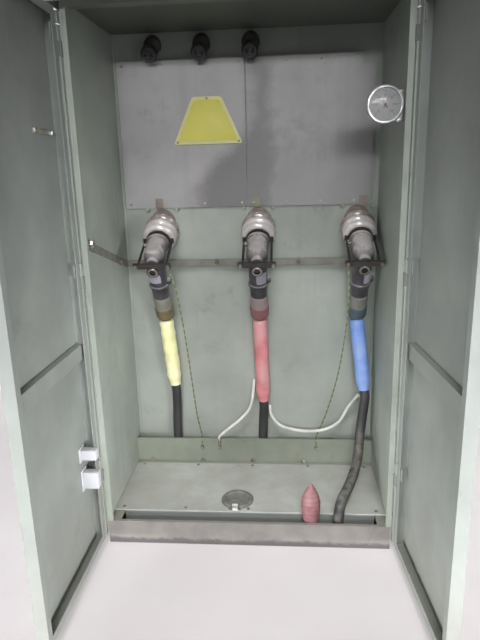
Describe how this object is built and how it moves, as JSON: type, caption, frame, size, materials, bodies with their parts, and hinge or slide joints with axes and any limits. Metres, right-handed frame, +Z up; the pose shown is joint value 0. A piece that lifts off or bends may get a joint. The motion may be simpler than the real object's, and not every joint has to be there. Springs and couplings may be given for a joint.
{
  "type": "ground mounted transformer with an open cable compartment",
  "caption": "Ground standing oil transformer with cooling fins, a front cable compartment with two hinged doors, and a closed rear cabinet.",
  "frame": {"origin": "centre of the base frame's footprint, on the underside of the middle cross member, at ground level", "axes": "+Z up, +X to the right as seen from the cable compartment, +Y from the compartment to the rear"},
  "size_m": [1.112, 1.883, 1.696],
  "materials": {
    "frame_paint": "dusty grey-green paint on steel channel",
    "sill_paint": "worn pale paint, dusty",
    "floor_paint": "dusty grey-green paint",
    "bung_rubber": "dusty grey rubber",
    "rail_paint": "green-grey paint",
    "shell_paint": "weathered grey-green cabinet paint",
    "roof_paint": "weathered grey-green paint, dusty on top",
    "tank_paint": "weathered grey-green tank paint",
    "wall_paint": "satin grey-green paint",
    "valve_metal": "dull weathered brass",
    "grey_sheet": "satin grey paint",
    "earth_copper": "darkened painted copper bar",
    "gauge_metal": "bright rim, grey case",
    "porcelain": "cream glazed porcelain, dusty",
    "elbow_rubber": "semi-conducting black rubber",
    "bail_steel": "dark steel bar with bright eye",
    "yellow_plastic": "pale yellow shrink sleeve",
    "red_plastic": "faded red shrink sleeve",
    "blue_plastic": "blue shrink sleeve",
    "cable_jacket": "black cable jacket, dusty",
    "white_lead": "off-white insulation",
    "bonding_wire": "green and yellow insulation",
    "fuse_plastic": "black moulded resin",
    "faded_red_plastic": "faded red shrink cap",
    "hinge_steel": "painted steel, worn at the barrels",
    "door_paint": "weathered grey-green door paint",
    "handle_metal": "black powder-coated casting"
  },
  "bodies": {
    "cabinet": {"left_skid": "frame_paint", "right_skid": "frame_paint", "cross_members": "frame_paint", "front_sill": "sill_paint", "floor_plate": "floor_paint", "floor_bung": "bung_rubber", "cable_rail": "rail_paint", "left_side_panel": "shell_paint", "right_side_panel": "shell_paint", "front_header": "shell_paint", "front_roof": "roof_paint", "tank_body": "tank_paint", "tank_front_wall": "wall_paint", "tank_cover": "tank_paint", "left_cooling_fins": "tank_paint", "right_cooling_fins": "tank_paint", "lifting_lugs": "tank_paint", "tank_valves": "valve_metal", "upper_panels": "grey_sheet", "earth_bar": "earth_copper", "dial_gauge": "gauge_metal", "left_bushing": "porcelain", "middle_bushing": "porcelain", "right_bushing": "porcelain", "left_elbow": "elbow_rubber", "middle_elbow": "elbow_rubber", "right_elbow": "elbow_rubber", "elbow_bails": "bail_steel", "yellow_sleeve": "yellow_plastic", "red_sleeve": "red_plastic", "blue_sleeve": "blue_plastic", "left_cable": "cable_jacket", "middle_cable": "cable_jacket", "right_cable": "cable_jacket", "earth_leads": "white_lead", "bonding_wires": "bonding_wire", "fuse_holders": "fuse_plastic", "spare_tail": "faded_red_plastic", "door_hinges": "hinge_steel", "rear_cabinet": "shell_paint", "rear_doors": "door_paint", "rear_roof": "roof_paint"},
    "left_leaf": {"left_door": "door_paint"},
    "right_leaf": {"right_door": "door_paint", "door_handle": "handle_metal"}
  },
  "joints": [
    {"name": "left_door_hinge", "type": "hinge", "parent": "cabinet", "child": "left_leaf", "pos_m": [-0.464, -0.685, 0.8], "axis": [0, 0, 1], "range_deg": [-30, 90]},
    {"name": "right_door_hinge", "type": "hinge", "parent": "cabinet", "child": "right_leaf", "pos_m": [0.464, -0.685, 0.8], "axis": [0, 0, 1], "range_deg": [-94, 26]}
  ]
}
